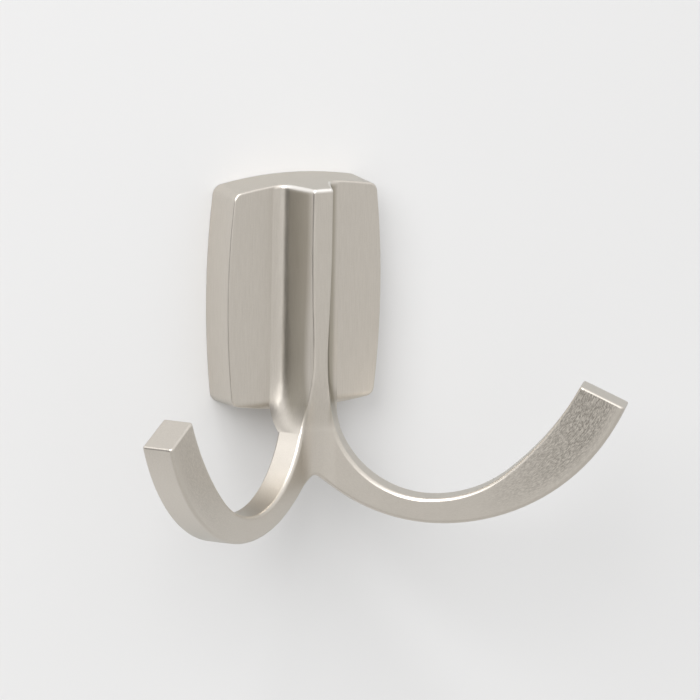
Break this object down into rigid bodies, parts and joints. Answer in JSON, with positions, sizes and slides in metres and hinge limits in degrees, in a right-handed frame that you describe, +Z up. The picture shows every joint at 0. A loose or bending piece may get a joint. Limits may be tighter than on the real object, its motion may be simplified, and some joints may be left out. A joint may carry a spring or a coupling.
{
  "type": "multi-prong wall hook",
  "caption": "Wall hook with a bowed backplate and an upright rib that opens into two mirrored J-shaped arms; it hangs on a hidden bevelled bracket and locks with a set screw.",
  "frame": {"origin": "middle of the backplate's outline, on the wall plane, which is the back face of the bracket", "axes": "+Y into the wall, so the hook stands out along -Y; +Z up; +X to the right for someone facing the hook"},
  "size_m": [0.1174, 0.0541, 0.0739],
  "materials": {
    "satin_nickel": "satin nickel plate over a zinc alloy casting, brushed",
    "zinc_plated_steel": "bright zinc plate",
    "dark_steel": "black oxide"
  },
  "bodies": {
    "root": {"hook_casting": "satin_nickel", "mounting_bracket": "zinc_plated_steel", "set_screw": "dark_steel"}
  },
  "joints": []
}
